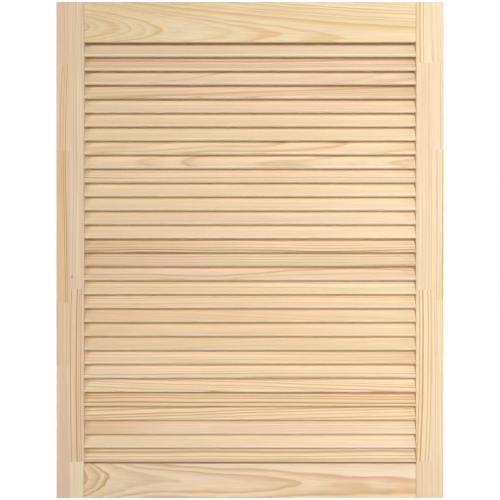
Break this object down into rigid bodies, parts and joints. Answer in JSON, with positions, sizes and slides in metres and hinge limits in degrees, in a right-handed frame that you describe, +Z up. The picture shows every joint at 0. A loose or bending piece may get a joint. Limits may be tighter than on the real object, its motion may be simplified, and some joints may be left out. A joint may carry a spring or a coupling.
{
  "type": "louvred cabinet door",
  "caption": "Unfinished pine cabinet door: a frame of stiles and rails around fixed sloping slats that let air through.",
  "frame": {"origin": "middle of the door's bottom edge, half way through its thickness", "axes": "+Z up along the stiles, +X to the right as seen from the front, -Y out of the front face"},
  "size_m": [0.394, 0.02, 0.505],
  "materials": {
    "pine_stile": "matte",
    "pine_rail": "matte",
    "pine_slat": "matte",
    "beech_dowel": "matte"
  },
  "bodies": {
    "root": {"stile_left": "pine_stile", "stile_right": "pine_stile", "rail_top": "pine_rail", "rail_bottom": "pine_rail", "slat_01": "pine_slat", "slat_02": "pine_slat", "slat_03": "pine_slat", "slat_04": "pine_slat", "slat_05": "pine_slat", "slat_06": "pine_slat", "slat_07": "pine_slat", "slat_08": "pine_slat", "slat_09": "pine_slat", "slat_10": "pine_slat", "slat_11": "pine_slat", "slat_12": "pine_slat", "slat_13": "pine_slat", "slat_14": "pine_slat", "slat_15": "pine_slat", "slat_16": "pine_slat", "slat_17": "pine_slat", "slat_18": "pine_slat", "slat_19": "pine_slat", "slat_20": "pine_slat", "slat_21": "pine_slat", "slat_22": "pine_slat", "slat_23": "pine_slat", "slat_24": "pine_slat", "slat_25": "pine_slat", "slat_26": "pine_slat", "slat_27": "pine_slat", "slat_28": "pine_slat", "slat_29": "pine_slat", "slat_30": "pine_slat", "dowel_left_bottom_outer": "beech_dowel", "dowel_left_bottom_inner": "beech_dowel", "dowel_left_top_outer": "beech_dowel", "dowel_left_top_inner": "beech_dowel", "dowel_right_bottom_outer": "beech_dowel", "dowel_right_bottom_inner": "beech_dowel", "dowel_right_top_outer": "beech_dowel", "dowel_right_top_inner": "beech_dowel"}
  },
  "joints": []
}
